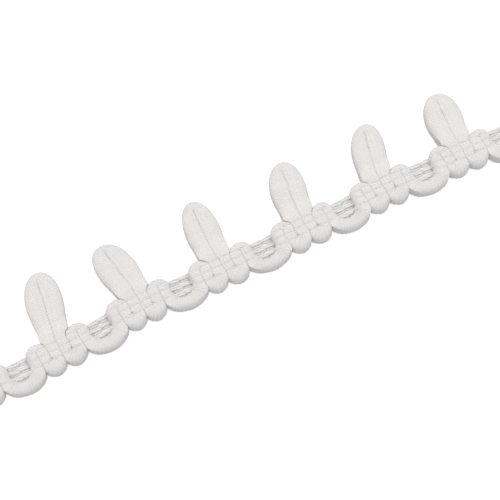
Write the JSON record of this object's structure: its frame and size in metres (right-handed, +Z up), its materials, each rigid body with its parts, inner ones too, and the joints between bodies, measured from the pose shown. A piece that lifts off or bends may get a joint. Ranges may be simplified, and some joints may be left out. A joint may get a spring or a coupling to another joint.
{
  "type": "button loop tape",
  "caption": "Cut length of soft button loop tape: a thick looping cord crosses thin warp chains, stands out in closed loops along one edge and hangs in small scallops along the other.",
  "frame": {"origin": "middle of the bounding box, on the surface that the tape lies on", "axes": "+X along the tape, +Y towards the tips of the button loops, +Z up from the surface"},
  "size_m": [0.0984, 0.0188, 0.0033],
  "materials": {
    "looping_cord": "soft matt white textile with fine cross ribs",
    "warp_chain": "soft matt white textile, a thin chain of stitches"
  },
  "bodies": {
    "root": {"looping_cord": "looping_cord", "warp_lower": "warp_chain", "warp_middle": "warp_chain", "warp_upper": "warp_chain"}
  },
  "joints": []
}
